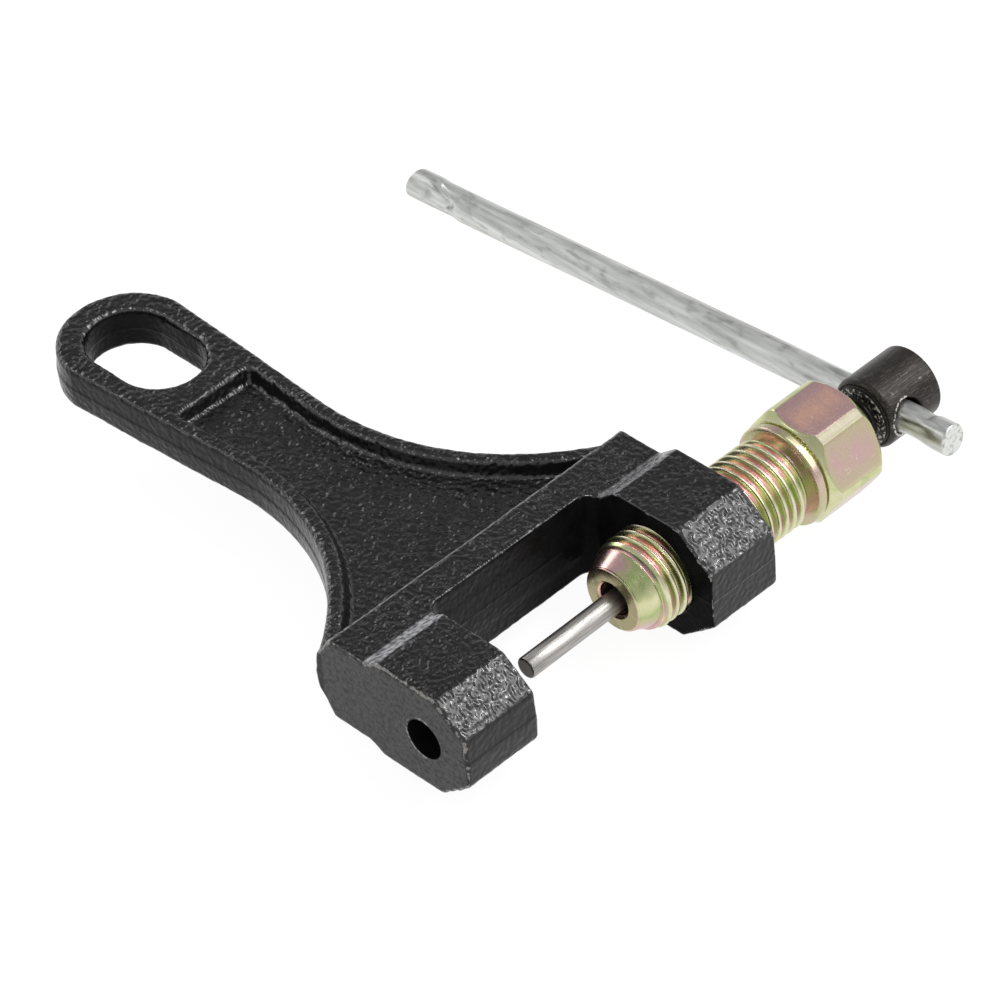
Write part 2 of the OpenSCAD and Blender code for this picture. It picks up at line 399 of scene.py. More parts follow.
def edge_wear(points, normals, edges):
    """How far each point stands out from its neighbours: above 0 on convex edges."""
    lean = np.zeros_like(points)
    count = np.zeros(len(points))
    for a, b in (edges.T, edges.T[::-1]):
        for axis in range(3):
            lean[:, axis] += np.bincount(a, points[b, axis] - points[a, axis], len(points))
        count += np.bincount(a, minlength=len(points))
    return -np.sum(lean / count[:, None] * normals, 1)


def grain_of(y, facing_up, is_smooth, in_gap):
    """How rough the cast surface is, from 0 on machined faces to 1 on the top."""
    grain = np.where(is_smooth, 0, 0.3 + 0.7 * facing_up)
    return np.where(in_gap, 0.12 + 0.2 * smooth_step(GAP - y, 8, 30), grain)


def pale_and_highlight_of(x, y, up, facing_up):
    """Where the paint is coloured a lighter grey: on the slopes behind the jaws, and in a line along the
    spine's outer top edge that is partly wear and partly a painted highlight.
    """
    foot, shoulder, side = (jaw_size(y, key) for key in ("foot", "shoulder", "half"))
    on_step = (x > foot - 0.6) & (x < shoulder + 0.4) & (up > SPINE_HALF + 0.1) & (up < side - 0.05)
    on_step &= (y < 0.5) | (y > GAP - 0.5)
    pale_and_highlight = on_step * np.where(y < GAP / 2, 1, 0.45) * facing_up
    # painted highlight, partly wear: a pale line along the spine's outer top edge
    on_spine_edge = (np.abs(x - SPINE_OUTER - 0.25) < 0.4) & (up > SPINE_HALF - 0.6)
    return np.maximum(pale_and_highlight, 0.6 * on_spine_edge)


def sheen_and_shade_of(x, y, flatness, facing_up, is_ground, in_gap):
    """How strongly the paint reflects. It is set per region, partly for the ground face's own finish and
    partly as painted light: up-facing slopes reflect more than flat tops, and the handle's sides, the
    gap's walls and the slot reflect less as painted shade.
    """
    flat = smooth_step(flatness, 0.86, 0.97)
    sheen_and_shade = np.where(is_ground, 0.42, 0.3 + 0.7 * facing_up - 0.66 * flat)
    # painted shade: the handle's sides reflect less
    sheen_and_shade = np.where((x < SPINE_OUTER - 2) & (facing_up < 0.5), 0.18, sheen_and_shade)
    # painted shade: the gap's walls hardly reflect, least towards the back jaw
    sheen_and_shade = np.where(in_gap, 0.01 + 0.1 * smooth_step(GAP - y, 8, 30), sheen_and_shade)
    # painted shade: the slot's walls hardly reflect
    in_slot = (x < POCKET_X - 1) & (np.abs(y - MIDDLE_Y) < SLOT_R + 0.6) & (facing_up < 0.5)
    return np.where(in_slot, 0.06, sheen_and_shade)


def roughen_casting(piece):
    """Moves the cast surface in and out, and stores what the paint needs to know."""
    points, normals = points_of(piece), normals_of(piece)
    x, y, z = points.T
    flatness = np.abs(normals[:, 2])
    facing_up = smooth_step(flatness, 0.35, 0.65)
    from_axis = np.hypot(x, z)
    bore_r = np.where(y < GAP / 2, FRONT_BORE_R, BACK_BORE_R)
    in_bore = from_axis < bore_r + 0.05
    is_ground = (normals[:, 1] < -0.97) & (y < FRONT_Y + 0.02)
    in_gap = (x > SPINE_INNER - 1) & (y > -0.5) & (y < GAP + 0.5) & (facing_up < 0.5)
    wear = edge_wear(points, normals, edges_of(piece))
    on_front_edge = (y < FRONT_Y + 0.7) & (x > FRONT_JAW["foot"]) & (z > 0)
    wear = np.where(on_front_edge & (wear > 0.01), wear + 0.006, wear)
    on_rim = is_ground & (x < 1.5) & (from_axis < FRONT_BORE_R + 0.55)
    wear = np.where(on_rim, 0.06, wear)
    grain = grain_of(y, facing_up, is_ground | in_bore, in_gap)
    sheen_and_shade = sheen_and_shade_of(x, y, flatness, facing_up, is_ground, in_gap)
    seam = np.exp(-((z / 0.22) ** 2)) * (flatness < 0.5)
    seam = np.where(in_bore | (is_ground & (x < FRONT_BORE_R)), 0, seam)
    ripple = waves(points, 2.6, 1.2, 60, SEED)
    swell = waves(points, 14, 6, 24, SEED + 1)
    height = grain * (0.05 * ripple + 0.04 * swell)
    moved = points + normals * (height * (grain > 0))[:, None]
    set_points(piece, np.clip(moved, cast_low, cast_high))
    set_attribute(piece, "grain", grain)
    set_attribute(piece, "wear", np.where(in_bore, 0, wear))
    set_attribute(piece, "pale_and_highlight", pale_and_highlight_of(x, y, np.abs(z), facing_up))
    set_attribute(piece, "ground", is_ground & ~in_bore)
    # painted shade: the bores reflect little
    set_attribute(piece, "sheen_and_shade", np.where(in_bore, 0.1, sheen_and_shade))
    set_attribute(piece, "seam", seam)


def build_casting():
    step = 0.37
    points, quads = net_of(casting_field, cast_low - 1, cast_high + 1, step)
    piece = new_object("casting", points, quads)
    combine(piece, cylinder_piece(FRONT_Y - 2, 2, FRONT_BORE_R), "DIFFERENCE")
    combine(piece, cylinder_piece(GAP - 2, BACK_Y + 2, BACK_BORE_R), "DIFFERENCE")
    roughen_casting(piece)
    return finish_piece(piece, "cast_body", cast_paint(), 50)


# ------------------------------------------------------------------ pressure bolt

NOSE_Y = bolt_low[1]
BOLT_LENGTH = bolt_high[1] - bolt_low[1]
BOLT_PITCH, BOLT_CREST_R, RUN_OUT_R = 2, 9, 7.7
NOSE_R, NOSE_EDGE, CONE_R, CONE_LENGTH = 6.4, 0.35, 7.85, 4
COLLAR_START, COLLAR_WIDTH, HEX_START = 42.7, 1.9, 45
COLLAR_R, HEX_FLAT, HEX_ROUND, HEX_FACE_R = 10.1, 10.5, 11.62, 10.05
INNER_BEVEL, OUTER_BEVEL = 1.7, 1.3
HEX_TURN = math.radians(4)
MOUTH_R, LIP, BORE_R = 3.4, 3, 5.05
# film of each flat; the edge between WORN_FACET and the next is rubbed bare
FACET_FILM = (0.55, 0.52, 0.6, 0.52, 0.68, 0.54)
WORN_FACET = 4


def thread_radius(along, turn, pitch, crest_r):
    """Radius of a right-hand rolled thread, with round crests and wide round roots."""
    depth = 0.6134 * pitch
    phase = (along / pitch - turn / (2 * math.pi)) % 1
    from_crest = np.abs(phase - 0.5) * 2
    return crest_r - depth * smooth_step(from_crest, 0.08, 0.92)


def shank_radius(along, turn):
    """Radius of the nose, the cone and the thread, up to the collar."""
    cone = NOSE_R + (CONE_R - NOSE_R) * along / CONE_LENGTH
    edge = NOSE_R - NOSE_EDGE + np.sqrt(np.clip(NOSE_EDGE**2 - (NOSE_EDGE - along) ** 2, 0, None))
    cone = np.where(along < NOSE_EDGE, np.minimum(cone, edge), cone)
    thread = thread_radius(along, turn, BOLT_PITCH, BOLT_CREST_R)
    begun = smooth_step(along, CONE_LENGTH - 0.4, CONE_LENGTH + 0.3)
    thread = CONE_R + 0.05 + (thread - CONE_R - 0.05) * begun
    run_out = smooth_step(along, COLLAR_START - 2.4, COLLAR_START - 0.9)
    thread = thread + (RUN_OUT_R - thread) * run_out
    return np.minimum(np.where(along < CONE_LENGTH, cone, cone + 0.5), thread)


def shank_piece(sides, per_pitch):
    """The nose, cone and thread as a closed mesh, with this many rings per pitch."""
    along = np.arange(0, COLLAR_START + 0.8, BOLT_PITCH / per_pitch)
    along = np.concatenate([np.linspace(0, NOSE_EDGE, 5)[:-1], along[along > 0.3]])
    turn = np.arange(sides) * 2 * math.pi / sides
    radii = shank_radius(along[:, None], turn[None, :])
    return tube("bolt", turned_rings(radii, along + NOSE_Y, sides))


def hex_parts(x, y, z):
    """Fields of the six flats and of the turned faces, and the distances along and from the axis."""
    along = y - NOSE_Y
    from_axis = np.hypot(x, z)
    flats = []
    for i in range(6):
        turn = HEX_TURN + math.radians(30 + 60 * i)
        flats.append(x * math.cos(turn) - z * math.sin(turn) - HEX_FLAT)
    inner_slope = (HEX_ROUND - HEX_FACE_R) / INNER_BEVEL
    outer_slope = (HEX_ROUND - HEX_FLAT) / OUTER_BEVEL
    inner = from_axis - HEX_FACE_R - (along - HEX_START) * inner_slope
    outer = from_axis - HEX_FLAT - (BOLT_LENGTH - along) * outer_slope
    turned = np.maximum(inner / math.hypot(1, inner_slope), outer / math.hypot(1, outer_slope))
    return flats, np.maximum(turned, from_axis - HEX_ROUND), along, from_axis


def hex_field(x, y, z):
    """The hexagon with its bevels, and the collar in front of it."""
    flats, turned, along, from_axis = hex_parts(x, y, z)
    prism = flats[0]
    for flat in flats[1:]:
        prism = round_max(prism, flat, 0.3)
    head = round_max(prism, turned, 0.2)
    head = round_max(head, np.maximum(HEX_START - along, along - BOLT_LENGTH), 0.2)
    collar = round_max(from_axis - COLLAR_R, COLLAR_START - along, 0.5)
    collar = round_max(collar, along - COLLAR_START - COLLAR_WIDTH, 0.3)
    groove = np.abs(along - HEX_START) - 1
    return np.minimum(np.minimum(head, collar), np.maximum(from_axis - COLLAR_R + 0.7, groove))


def bore_piece():
    """What is cut out of the bolt: mouth with its countersink, lip and the long bore."""
    profile = [
        (4.3, -0.4),
        (MOUTH_R, 0.5),
        (MOUTH_R, LIP),
        (BORE_R, LIP),
        (BORE_R, BOLT_LENGTH - 0.7),
        (BORE_R + 0.9, BOLT_LENGTH + 0.2),
    ]
    return turned_piece("bore", [(r, NOSE_Y + along) for r, along in profile])


def build_bolt():
    piece = shank_piece(120, 32)
    low = [bolt_low[0], NOSE_Y + COLLAR_START, bolt_low[2]]
    points, quads = net_of(hex_field, low, bolt_high, 0.2)
    combine(piece, new_object("hex", points, quads), "UNION")
    combine(piece, bore_piece(), "DIFFERENCE")
    film_and_shade_of_bolt(piece)
    return finish_piece(piece, "hollow_bolt", yellow_zinc(), 40)


def film_and_shade_of_bolt(piece):
    """Stores the plating film and some painted shade: 0 is thin and pale, and it runs through green and
    rose to brown; the nose's end face gets a darker olive as painted shade.
    """
    points = points_of(piece)
    flats, turned, along, from_axis = hex_parts(*points.T)
    facet = np.argmax(flats, 0)
    faces = np.sort(np.stack(flats + [turned]), 0)
    from_edge = 0.74 + 0.26 * smooth_step(faces[-1] - faces[-2], 0.1, 2.2)
    on_flat = np.max(flats, 0) > turned
    film_and_shade = np.where(on_flat, from_edge * np.array(FACET_FILM)[facet], 0.14)
    around = np.arctan2(points[:, 0], points[:, 2])
    rosy = 1 - np.exp(-(((around - 1.1) / 0.7) ** 2))
    thread = 0.03 + (0.3 + 0.3 * rosy) * smooth_step(BOLT_CREST_R - from_axis, 0.15, 0.9)
    film_and_shade = np.where(along < HEX_START - 0.2, 0.4, film_and_shade)
    film_and_shade = np.where((along > CONE_LENGTH) & (along < COLLAR_START - 0.3), thread, film_and_shade)
    film_and_shade = np.where(along < CONE_LENGTH, 0.12 + 0.37 * rosy, film_and_shade)
    # painted shade: the nose's end face is a darker olive, for the shaded floor it reflects
    film_and_shade = np.where(along < 0.06, 0.88, film_and_shade)
    film_and_shade = np.where((along < 0.9) & (from_axis < MOUTH_R + 0.2), 0.45, film_and_shade)
    inside = (from_axis < BORE_R + 0.1) & (along > LIP - 0.1)
    set_attribute(piece, "film_and_shade", np.where(inside, 1, film_and_shade))
    set_attribute(piece, "turned", (along < HEX_START - 0.1) | ~on_flat)
    set_attribute(piece, "worn", edge_rub(flats, along))


def edge_rub(flats, along):
    """1 on the rubbed edge of the hexagon, between its two bevels, and 0 elsewhere."""
    nearest, distance = np.argsort(flats, 0)[-2:], np.sort(flats, 0)
    on_edge = (np.min(nearest, 0) == WORN_FACET) & (np.max(nearest, 0) == WORN_FACET + 1)
    between_bevels = (along > HEX_START + INNER_BEVEL) & (along < BOLT_LENGTH - OUTER_BEVEL)
    return on_edge * between_bevels * (1 - smooth_step(distance[-1] - distance[-2], 0.7, 1.1))


# ------------------------------------------------------------------ pin and spring

PIN_R = 2.1
PIN_HEAD = 3
# the pin hangs low by this much at its head, and more towards its tip
PIN_SAG, PIN_LEAN = 0.3, 0.015
WIRE_R, WIRE_SIDES, COILS = 0.45, 12, 8


def build_pin():
    """The ground pin, with a broken edge at its tip and a head that runs in the bolt."""
    low, high = pin_low[1], pin_high[1]
    shoulder = high - PIN_HEAD
    head_r = pin_high[0]
    # radius and place along the axis, from the tip to the head
    profile = [
        (0.9, low + 0.02), (1.6, low), (PIN_R - 0.28, low), (PIN_R - 0.1, low + 0.1),
        (PIN_R, low + 0.32), (PIN_R, low + 6), (PIN_R, low + 20), (PIN_R, shoulder - 0.2),
        (PIN_R + 0.2, shoulder), (head_r - 0.2, shoulder), (head_r, shoulder + 0.2),
        (head_r, high - 0.3), (head_r - 0.3, high), (1, high),
    ]
    piece = turned_piece("pin", profile)
    points = points_of(piece)
    from_axis = np.hypot(points[:, 0], points[:, 2])
    set_attribute(piece, "tip", (points[:, 1] < low + 0.05) & (from_axis < PIN_R - 0.2))
    points[:, 2] -= PIN_SAG + (high - points[:, 1]) * PIN_LEAN
    set_points(piece, points)
    return finish_piece(piece, "push_pin", ground_steel(), 30)


def build_spring():
    """The coil spring round the pin, with its end turns closed up."""
    low, high = spring_low[1] + 0.05 + WIRE_R, spring_high[1] - 0.05 - WIRE_R
    middle_r = spring_high[0] - WIRE_R - 0.02
    turn = np.linspace(0, COILS, COILS * 40 + 1)
    rise = smooth_step(turn, -0.6, COILS + 0.6)
    rise = (rise - rise[0]) / (rise[-1] - rise[0])
    angle = turn * 2 * math.pi
    outward = np.stack([np.sin(angle), np.zeros_like(angle), np.cos(angle)], 1)
    centre = outward * middle_r
    centre[:, 1] = low + (high - low) * rise
    around = (np.arange(WIRE_SIDES) * 2 * math.pi / WIRE_SIDES)[None, :, None]
    upward = np.array([0, 1, 0])
    rings = centre[:, None] + WIRE_R * np.cos(around) * outward[:, None] + WIRE_R * np.sin(around) * upward
    piece = tube("spring", rings)
    return finish_piece(piece, "return_spring", spring_steel(), 60)


# ------------------------------------------------------------------ drive screw

HEAD_Y, HEAD_END = 93.5, screw_high[1]
HEAD_R, FACE_R = 7.2, 5.9
HOLE_Y, HOLE_R = 98.6, 3.5
SCREW_PITCH, SCREW_CREST_R, SCREW_TIP_R, SCREW_NECK_R = 1.5, 4.97, 3.9, 4.1
SCREW_SIDES = 72
# the tommy bar's hole slopes up by this angle towards the jaws' noses
LEAN = math.radians(4.8)


def bar_axes(x, z):
    """Distance along the tommy bar, and height above it."""
    return x * math.cos(LEAN) + z * math.sin(LEAN), z * math.cos(LEAN) - x * math.sin(LEAN)


def head_field(x, y, z):
    """The round head: a proud rough face inside a groove, and the bar's hole."""
    from_axis = np.hypot(x, z)
    side = round_max(from_axis - HEAD_R, y - HEAD_END, 0.45)
    side = round_max(side, HEAD_Y + 0.5 - y, 1.5)
    face = round_max(from_axis - FACE_R, HEAD_Y - y, 0.25)
    groove = np.hypot(from_axis - FACE_R - 0.15, y - HEAD_Y - 0.6) - 0.32
    head = round_max(np.minimum(side, face), -groove, 0.1)
    _, height = bar_axes(x, z)
    hole = np.hypot(y - HOLE_Y, height) - HOLE_R
    return round_max(np.maximum(head, y - HEAD_END), -hole, 0.3)


def build_screw():
    """The threaded shank and the head in one piece."""
    start, stop = screw_low[1], HEAD_Y + 1.5
    along = np.arange(start, stop, 0.1)
    turn = np.arange(SCREW_SIDES) * 2 * math.pi / SCREW_SIDES
    radii = thread_radius(along[:, None] - start, turn[None, :], SCREW_PITCH, SCREW_CREST_R)
    tip = SCREW_TIP_R + (along[:, None] - start) * 0.8
    neck = np.where(along[:, None] > HEAD_Y - 1.2, SCREW_NECK_R, SCREW_CREST_R)
    radii = np.minimum(radii, np.minimum(tip, neck))
    piece = tube("drive_screw_piece", turned_rings(radii, along, SCREW_SIDES))
    low = [screw_low[0], HEAD_Y, screw_low[2]]
    points, quads = net_of(head_field, low, screw_high, 0.16)
    combine(piece, new_object("head", points, quads), "UNION")
    points = points_of(piece)
    from_axis = np.hypot(points[:, 0], points[:, 2])
    is_face = (points[:, 1] < HEAD_Y + 0.1) & (points[:, 1] > HEAD_Y - 0.1)
    set_attribute(piece, "rough_face", is_face & (from_axis < FACE_R + 0.1))
    _, height = bar_axes(points[:, 0], points[:, 2])
    from_hole = np.hypot(points[:, 1] - HOLE_Y, height) - HOLE_R
    rim = (np.abs(from_hole - 0.15) < 0.32) & (points[:, 1] < HOLE_Y + 1)
    set_attribute(piece, "rim", rim)
    return finish_piece(piece, "drive_screw", black_oxide(), 45)


# ------------------------------------------------------------------ tommy bar

BAR_R = 3.1
BAR_LONG, BAR_SHORT = 121, 18
# the bar rests low in its hole, on the side nearer the anvil
BAR_DROP = (0.2, 0.28)
BAR_LEAN = LEAN - math.radians(0.15)
PINCH_TURN = math.radians(52)
# how far from the long end its slanting step is, on the two pressed sides
LONG_STEP = {1: 7, -1: 13.2}
LONG_PIT = 12.2
# where the imprint on the upper side of the short end stops
SHORT_WALL = 5.2
# half of what each end is sheared out of square by
LONG_SLANT, SHORT_SLANT = 0.48, 0.15


def short_end(from_end, thin):
    """Change of radius at the short end: one steep-walled imprint and one long shallow one."""
    slope = np.clip(1 - (from_end - SHORT_WALL) / 4.6, 0, 1) ** 1.2
    upper = 0.38 * slope * smooth_step(from_end, SHORT_WALL - 1.1, SHORT_WALL + 0.5)
    lower = 0.55 * smooth_step(from_end, 2.4, 8.4) * (1 - smooth_step(from_end, 10, 13))
    ridge = 0.5 * np.exp(-((thin / 0.3) ** 2) - ((from_end - SHORT_WALL) / 2.6) ** 2)
    return ridge - upper * smooth_step(thin, 0.12, 0.62) - lower * smooth_step(-thin, 0.12, 0.62)


def long_end(from_end, thin):
    """Change of radius at the long end: pushed aside behind a slanting, grooved step."""
    flank = 1 - thin**2
    middle = (LONG_STEP[1] + LONG_STEP[-1]) / 2
    half = (LONG_STEP[-1] - LONG_STEP[1]) / 2
    past = from_end - middle + half * np.tanh((thin - 0.2) / 0.4)
    change = (0.3 * thin - 0.06) * (1 - smooth_step(past, -1.5, 1.9))
    change = change + 0.45 * np.exp(-((thin / 0.3) ** 2) - ((past + 3) / 1.8) ** 2)
    groove = 0.45 * flank * np.exp(-((past / 0.9) ** 2))
    pit = 0.6 * np.exp(-(((from_end - LONG_PIT) / 0.7) ** 2) - ((thin + 0.55) / 0.22) ** 2)
    return change - groove - pit


def bar_radius(along, thin):
    """Radius of the bar; thin is 1 and -1 on the sides that the dies pressed."""
    wander = 0.02 * np.sin(along * 0.21 + 1)
    return BAR_R + wander + long_end(along + BAR_LONG, thin) + short_end(BAR_SHORT - along, thin)


def end_rounding(from_end):
    """How far the bar's surface draws in this close to its end face."""
    edge = 0.4
    return edge - np.sqrt(np.clip(edge**2 - np.clip(edge - from_end, 0, edge) ** 2, 0, None))


def build_bar():
    """The tommy bar, with rings close together where its ends are pressed."""
    sides = 72
    around = np.arange(sides) * 2 * math.pi / sides
    wide, thin = np.cos(around)[None, :], np.sin(around)[None, :]
    coarse = 1
    places = np.concatenate([
        -BAR_LONG + np.array([0.0, 0.03, 0.1, 0.2, 0.32]),
        np.arange(-BAR_LONG + 0.5, -BAR_LONG + 17, 0.14 * coarse),
        np.arange(-BAR_LONG + 17, BAR_SHORT - 13.5, 2.5),
        np.arange(BAR_SHORT - 13, BAR_SHORT - 0.4, 0.14 * coarse),
        BAR_SHORT - np.array([0.32, 0.2, 0.1, 0.03, 0.0]),
    ])[:, None]
    radius = bar_radius(places, thin)
    radius = radius - end_rounding(places + BAR_LONG) - end_rounding(BAR_SHORT - places)
    long_slant = LONG_SLANT * (1 - smooth_step(places + BAR_LONG, 0, 6))
    short_slant = SHORT_SLANT * (1 - smooth_step(BAR_SHORT - places, 0, 4))
    along = places + (1 + thin) * (long_slant - short_slant)
    across = radius * (thin * math.sin(PINCH_TURN) - wide * math.cos(PINCH_TURN))
    height = radius * (wide * math.sin(PINCH_TURN) + thin * math.cos(PINCH_TURN))
    x = along * math.cos(BAR_LEAN) - height * math.sin(BAR_LEAN)
    z = along * math.sin(BAR_LEAN) + height * math.cos(BAR_LEAN)
    rings = np.stack([x, across + HOLE_Y - BAR_DROP[0], z - BAR_DROP[1]], -1)
    piece = tube("bar", rings)
    end = np.minimum(places + BAR_LONG, BAR_SHORT - places) < 0.25
    set_attribute(piece, "cut", np.broadcast_to(end, along.shape).ravel())
    return finish_piece(piece, "tommy_bar", white_zinc(), 40)


# ------------------------------------------------------------------ material nodes


def new_material(name, roughness, metallic):
    """A material with its node tree and its shader."""
    material = bpy.data.materials.new(name)
    material.use_nodes = True
    shader = material.node_tree.nodes["Principled BSDF"]
    shader.inputs["Roughness"].default_value = roughness
    shader.inputs["Metallic"].default_value = metallic
    return material, material.node_tree, shader


def add(tree, kind, inputs=None, **settings):
    """A node with its settings, and its inputs set to values or joined to sockets."""
    node = tree.nodes.new(kind)
    for key, value in settings.items():
        setattr(node, key, value)
    for key, value in (inputs or {}).items():
        if isinstance(value, bpy.types.NodeSocket):
            tree.links.new(value, node.inputs[key])
        else:
            node.inputs[key].default_value = value
    return node


def millimetres(tree, scale=(1, 1, 1)):
    """The piece's own coordinates in millimetres, stretched by scale."""
    place = add(tree, "ShaderNodeTexCoord")
    inputs = {"Vector": place.outputs["Object"], "Scale": [k / MM for k in scale]}
    return add(tree, "ShaderNodeMapping", inputs).outputs["Vector"]


def noise(tree, vector, size, detail=2, roughness=0.5, distortion=0):
    """Noise with features of this size in millimetres."""
    inputs = {
        "Vector": vector, "Scale": 1 / size, "Detail": detail, "Roughness": roughness,
        "Distortion": distortion,
    }
    return add(tree, "ShaderNodeTexNoise", inputs).outputs["Fac"]


def attribute(tree, name):
    """A number that set_attribute stored on the points."""
    return add(tree, "ShaderNodeAttribute", attribute_name=name).outputs["Fac"]


def calculate(tree, operation, a, b=0.5, clamp=False):
    return add(tree, "ShaderNodeMath", {0: a, 1: b}, operation=operation, use_clamp=clamp).outputs[0]


def ramp(tree, value, stops):
    """Colour from a value; stops are (place, colour) or (place, grey)."""
    node = add(tree, "ShaderNodeValToRGB", {"Fac": value})
    colours = node.color_ramp.elements
    while len(colours) < len(stops):
        colours.new(0.5)
    for element, (place, colour) in zip(colours, stops):
        element.position = place
        shade_of = colour if isinstance(colour, tuple) else (colour,) * 3
        element.color = (*shade_of, 1)
    return node.outputs["Color"]


def mix(tree, share, a, b, blend="MIX"):
    node = add(tree, "ShaderNodeMix", {0: share}, data_type="RGBA", blend_type=blend)
    for index, value in ((6, a), (7, b)):
        if isinstance(value, bpy.types.NodeSocket):
            tree.links.new(value, node.inputs[index])
        else:
            node.inputs[index].default_value = (*value, 1)
    return node.outputs[2]


def bump(tree, height, depth, share=1, under=None):
    """A bump of this depth in millimetres, where share is 1, on top of another bump."""
    inputs = {"Height": height, "Distance": depth * MM, "Strength": share}
    if under is not None:
        inputs["Normal"] = under
    return add(tree, "ShaderNodeBump", inputs).outputs["Normal"]


def drive(tree, shader, **sockets):
    """Joins sockets to the shader's inputs, named with _ for a space."""
    for key, socket in sockets.items():
        name = key.replace("_", " ")
        tree.links.new(socket, shader.inputs[name])


# ------------------------------------------------------------------ materials


def scratches(tree, vector, size, width):
    """Thin curved lines, 1 on a line and 0 elsewhere, broken up by a second noise."""
    lines = calculate(tree, "ABSOLUTE", calculate(tree, "SUBTRACT", noise(tree, vector, size, 1), 0.5))
    lines = ramp(tree, lines, [(0, 1.0), (width, 0.0)])
    gaps = ramp(tree, noise(tree, vector, size * 0.6, 1), [(0.5, 0.0), (0.6, 1.0)])
    return mix(tree, 1, lines, gaps, "MULTIPLY")


def cast_paint():
    """Gloss black paint over cast grain, lighter grey on the steps and worn through on edges, with a
    painted highlight along the spine's outer edge and painted shade where the paint is made to reflect
    less.
    """
    material, tree, shader = new_material("cast_paint", 0.25, 0)
    place = millimetres(tree)
    grain, wear, pale_and_highlight, ground, sheen_and_shade, seam = (
        attribute(tree, name) for name in ("grain", "wear", "pale_and_highlight", "ground", "sheen_and_shade", "seam")
    )
    lumps = noise(tree, place, 1, 0, 0.5, 0.1)
    mottle = noise(tree, place, 0.9, 4, 0.65)
    mottle = ramp(tree, mottle, [(0.38, 0.55), (0.5, 1.0), (0.62, 1.35)])
    pits = noise(tree, place, 0.25, 2)
    patches = noise(tree, place, 5, 3)
    worn = calculate(tree, "MULTIPLY", wear, 9)
    worn = calculate(tree, "ADD", worn, noise(tree, place, 0.8, 3))
    worn = calculate(tree, "ADD", worn, calculate(tree, "MULTIPLY", patches, 0.7))
    worn = ramp(tree, calculate(tree, "SUBTRACT", worn, 0.8), [(0.46, 0.0), (0.58, 1.0)])
    paint = ramp(tree, patches, [(0.3, (0.004, 0.004, 0.004)), (0.7, (0.009, 0.009, 0.010))])
    metal = ramp(tree, pits, [(0.3, (0.09, 0.085, 0.08)), (0.7, (0.30, 0.28, 0.26))])
    colour = mix(tree, worn, paint, metal)
    pale_and_highlight_grey = ramp(tree, lumps, [(0.3, (0.10, 0.10, 0.105)), (0.6, (0.34, 0.34, 0.36))])
    # lighter grey on the steps, and the painted highlight along the spine's edge
    colour = mix(tree, pale_and_highlight, colour, pale_and_highlight_grey)
    gloss = ramp(tree, pits, [(0.3, 0.16), (0.7, 0.28)])
    gloss = mix(tree, ground, gloss, (0.4, 0.4, 0.4))
    arcs = add(tree, "ShaderNodeVectorMath", {0: place, 1: (30, 0, 50)}, operation="DISTANCE")
    arcs = add(tree, "ShaderNodeCombineXYZ", {"X": arcs.outputs["Value"]}).outputs["Vector"]
    relief = bump(tree, lumps, 0.46, grain)
    relief = bump(tree, pits, 0.02, grain, relief)
    relief = bump(tree, noise(tree, arcs, 0.5, 2), 0.05, ground, relief)
    relief = bump(tree, noise(tree, place, 0.3, 2), 0.03, ground, relief)
    relief = bump(tree, seam, 0.05, 1, relief)
    mottle = mix(tree, ground, (1.0, 1.0, 1.0), mottle)
    # the paint's reflection, turned down as painted shade in the gap, the slot, the bores and on the
    # handle's sides
    shine = calculate(tree, "MULTIPLY", sheen_and_shade, mottle)
    drive(tree, shader, Base_Color=colour, Roughness=gloss, Normal=relief, Specular_IOR_Level=shine)
    return material


def yellow_zinc():
    """Iridescent yellow zinc plating: the film's thickness sets its colour, and painted shade darkens the
    nose's end face.
    """
    material, tree, shader = new_material("yellow_zinc", 0.25, 1)
    place = millimetres(tree)
    film_and_shade, turned, worn = (attribute(tree, name) for name in ("film_and_shade", "turned", "worn"))
    patches = noise(tree, place, 4, 2, 0.5, 0.6)
    drift = calculate(tree, "SUBTRACT", patches, 0.5)
    reach = calculate(tree, "MULTIPLY_ADD", turned, 0.3)
    reach.node.inputs[2].default_value = 0.12
    order = calculate(tree, "ADD", film_and_shade, calculate(tree, "MULTIPLY", drift, reach), clamp=True)
    colour = ramp(
        tree,
        order,
        [
            (0.0, (0.70, 0.66, 0.48)),
            (0.12, (0.60, 0.60, 0.34)),
            (0.27, (0.38, 0.47, 0.20)),
            (0.38, (0.52, 0.48, 0.29)),
            (0.5, (0.60, 0.39, 0.40)),
            (0.64, (0.92, 0.54, 0.40)),
            (0.76, (0.34, 0.26, 0.19)),
            (0.88, (0.34, 0.31, 0.16)),
            (1.0, (0.12, 0.11, 0.07)),
        ],
    )
    colour = mix(tree, worn, colour, (0.36, 0.33, 0.25))
    marks = scratches(tree, place, 3.5, 0.008)
    colour = mix(tree, calculate(tree, "MULTIPLY", marks, 0.4), colour, (0.9, 0.85, 0.72))
    gloss = ramp(tree, noise(tree, place, 0.6, 4), [(0.2, 0.2), (0.8, 0.32)])
    gloss = mix(tree, worn, gloss, (0.5, 0.5, 0.5))
    lines = noise(tree, millimetres(tree, (0.02, 1, 0.02)), 0.16, 2)
    relief = bump(tree, lines, 0.02, turned)
    drive(tree, shader, Base_Color=colour, Roughness=gloss, Normal=relief)
    return material


def ground_steel():
    """Bright steel, ground along its length, browner and darker on its end."""
    material, tree, shader = new_material("ground_steel", 0.36, 1)
    streaks = noise(tree, millimetres(tree, (1, 0.04, 1)), 0.25, 3)
    colour = ramp(tree, streaks, [(0.3, (0.24, 0.23, 0.22)), (0.7, (0.48, 0.46, 0.44))])
    colour = mix(tree, attribute(tree, "tip"), colour, (0.10, 0.095, 0.09))
    drive(tree, shader, Base_Color=colour)
    return material


